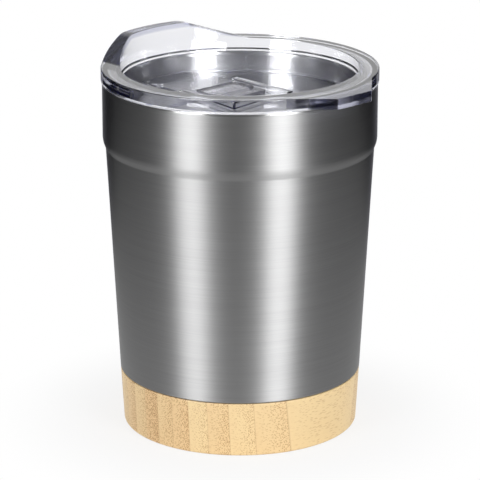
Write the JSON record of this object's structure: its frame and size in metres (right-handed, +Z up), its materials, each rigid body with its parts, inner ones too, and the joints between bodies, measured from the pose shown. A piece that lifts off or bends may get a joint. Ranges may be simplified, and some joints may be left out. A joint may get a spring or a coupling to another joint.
{
  "type": "travel mug",
  "caption": "Double-walled steel tumbler on a turned bamboo base, with a clear press-in lid that has a raised drinking lip, a thumb tab and a sliding closure.",
  "frame": {"origin": "centre of the bamboo base's flat underside, on the cup's axis", "axes": "+Z up along the cup's axis, +Y towards the raised drinking lip, -Y towards the thumb tab"},
  "size_m": [0.086, 0.0924, 0.1199],
  "materials": {
    "shell_steel": "brushed round the axis, satin",
    "cup_steel": "fine brushed, bright",
    "cap_steel": "plain sheet",
    "solder": "dull",
    "getter": "sintered, matt",
    "adhesive": "cured, satin",
    "bamboo": "laminated bamboo, clear matt varnish",
    "clear_lid": "clear, polished",
    "clear_slider": "clear, polished, ribbed grip",
    "silicone": "milky silicone"
  },
  "bodies": {
    "cup": {"outer_shell": "shell_steel", "inner_cup": "cup_steel", "bottom_cap": "cap_steel", "sealing_bead": "solder", "getter_tablet": "getter", "base_adhesive": "adhesive", "bamboo_base": "bamboo"},
    "lid": {"lid_body": "clear_lid", "lid_seal": "silicone"},
    "closure": {"slider": "clear_slider", "slider_seal": "silicone"}
  },
  "joints": [
    {"name": "lid_lift", "type": "slide", "parent": "cup", "child": "lid", "axis": [0, 0, 1], "range_m": [0, 0.03]},
    {"name": "slider_open", "type": "slide", "parent": "lid", "child": "closure", "axis": [0, -1, 0], "range_m": [0, 0.008]}
  ]
}
